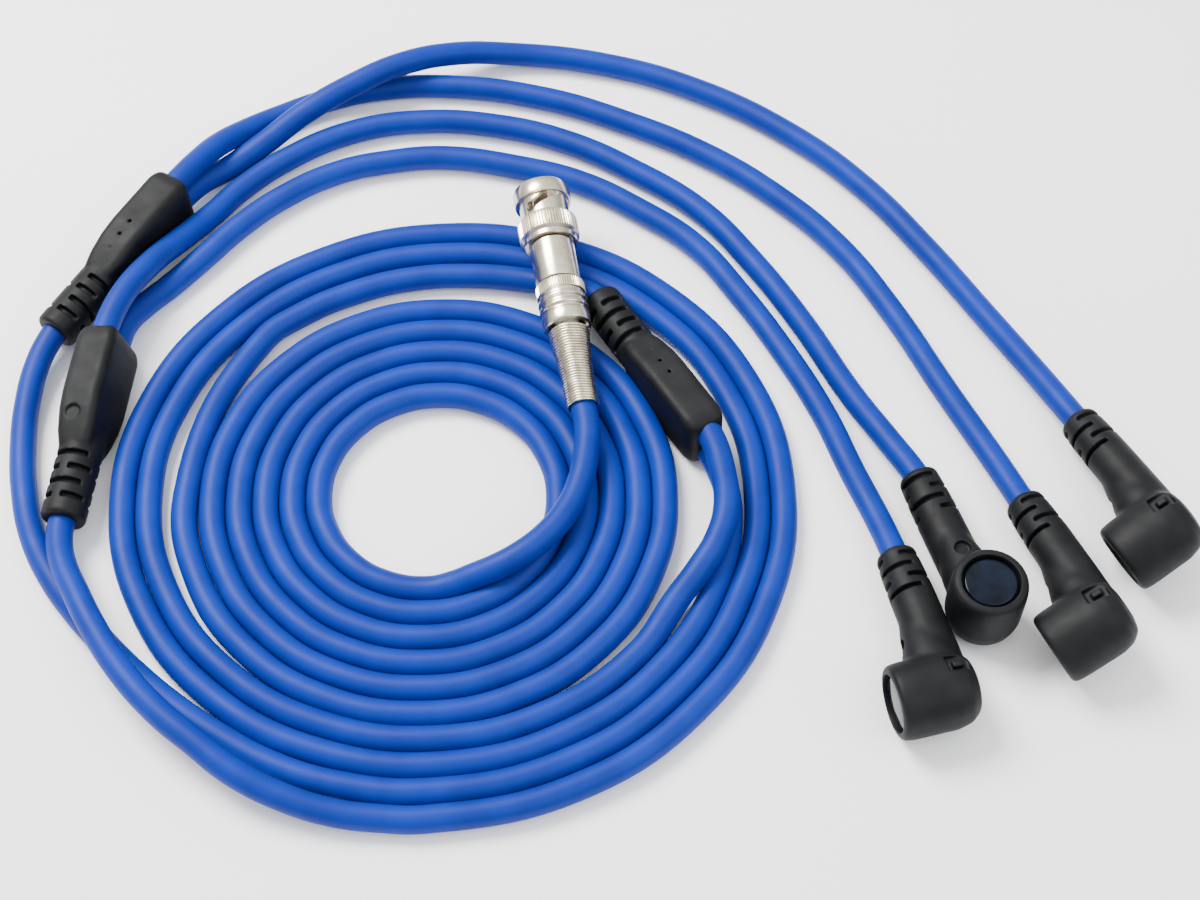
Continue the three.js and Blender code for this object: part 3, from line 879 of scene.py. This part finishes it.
FINISHES = {
    "nickel_plate": nickel_plate(),
    "spring_steel": spring_wire(),
    "blue_jacket": extruded_pvc(),
    "boot_rubber": moulded_rubber(),
    "gloss_cap": polished_cap(),
    "gold_plate": small_finish("gold_plated_brass", "#E0B65C", "#CFA149", 600.0, 2500.0, 0.00002,
                               Metallic=1.0, Roughness=0.22),
    "ptfe": small_finish("turned_ptfe", "#F1F0EA", "#E4E2DA", 400.0, 1800.0, 0.00003,
                          Roughness=0.42, IOR=1.36),
    "nylon": small_finish("moulded_nylon", "#E8E2D2", "#DAD3C0", 300.0, 1500.0, 0.00004,
                           Roughness=0.5, IOR=1.53),
    "silicone_seal": small_finish("moulded_silicone", "#A53A2B", "#8F3023", 500.0, 1800.0, 0.00004,
                                  Roughness=0.55, IOR=1.43),
    "tinned_copper": small_finish("tinned_copper_crimp", "#CBC8C2", "#B5AFA6", 500.0, 2000.0, 0.00003,
                                  Metallic=1.0, Roughness=0.35),
    "enamelled_copper": small_finish("enamelled_copper_wire", "#B4622C", "#8F4A20", 900.0, 4500.0, 0.00008,
                                     Metallic=0.9, Roughness=0.3),
    "ferrite": small_finish("pressed_ferrite", "#47474A", "#353538", 500.0, 3000.0, 0.00006, Roughness=0.62),
}
print("finishes:", len(FINISHES))

# %% Dress every piece
def wear(piece, material):
    piece.data.materials.clear()
    piece.data.materials.append(material)


node_slots = {}
for part in frame["record"]["subparts"]:
    node_slots[part["node"]] = part["material_slot"]
for node, piece in frame["nodes"].items():
    for material_slot in piece.material_slots:
        material_slot.material = FINISHES[node_slots[node]]
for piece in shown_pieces():
    if "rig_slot" in piece:
        wear(piece, FINISHES[piece["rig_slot"]])
print("dressed", len(node_slots), "CAD nodes")

# %% [markdown]
# ## The bench and the light
# The set lies on a plain pale floor under one large soft lamp from the upper left and a weaker
# one from the lower right. The sky is bright overhead and darker at the horizon, which shades
# the undersides of the cables and gives the nickel something to mirror.

# %% Floor
bpy.ops.mesh.primitive_plane_add(size=6.0, location=(0, 0, 0))
floor = bpy.context.object
floor.name = "floor"
paper, paper_tree, paper_shader = finish_named("matt_white_paper", Roughness=0.75, IOR=1.45)
paper_place = object_place(paper_tree)
paper_tone = mottled(paper_tree, paper_place, "#F7F7F8", "#F3F3F5", 8.0)
paper_tree.links.new(paper_tone, paper_shader.inputs["Base Color"])
grained(paper_tree, paper_place, paper_shader, 900.0, 0.00003, 0.1)
floor.data.materials.append(paper)


# %% Lights
def soft_lamp(name, location, size, power, colour):
    bpy.ops.object.light_add(type="AREA", location=location)
    lamp = bpy.context.object
    lamp.name = name
    lamp.data.shape = "DISK"
    lamp.data.size = size
    lamp.data.energy = power
    lamp.data.color = linear(colour)[:3]
    aim = Vector((0, 0, 0)) - Vector(location)
    lamp.rotation_euler = aim.to_track_quat("-Z", "Y").to_euler()
    return lamp


soft_lamp("key_lamp", (-0.45, 0.35, 0.75), 0.5, 22.0, "#FFFDFA")
soft_lamp("fill_lamp", (0.6, -0.35, 0.7), 0.8, 5.0, "#F4F8FF")
world = bpy.data.worlds.new("bright_studio")
bpy.context.scene.world = world
world.use_nodes = True
sky = add_node(world.node_tree, "ShaderNodeSeparateXYZ", {}, {"Vector": object_place(world.node_tree)})
height = add_node(world.node_tree, "ShaderNodeMapRange",
                  {"From Min": 0.0, "From Max": 0.9, "To Min": 0.45, "To Max": 1.9},
                  {"Value": sky.outputs["Z"]})
background = world.node_tree.nodes["Background"]
background.inputs["Color"].default_value = (1, 1, 1, 1)
world.node_tree.links.new(height.outputs["Result"], background.inputs["Strength"])
print("lamps: 2")
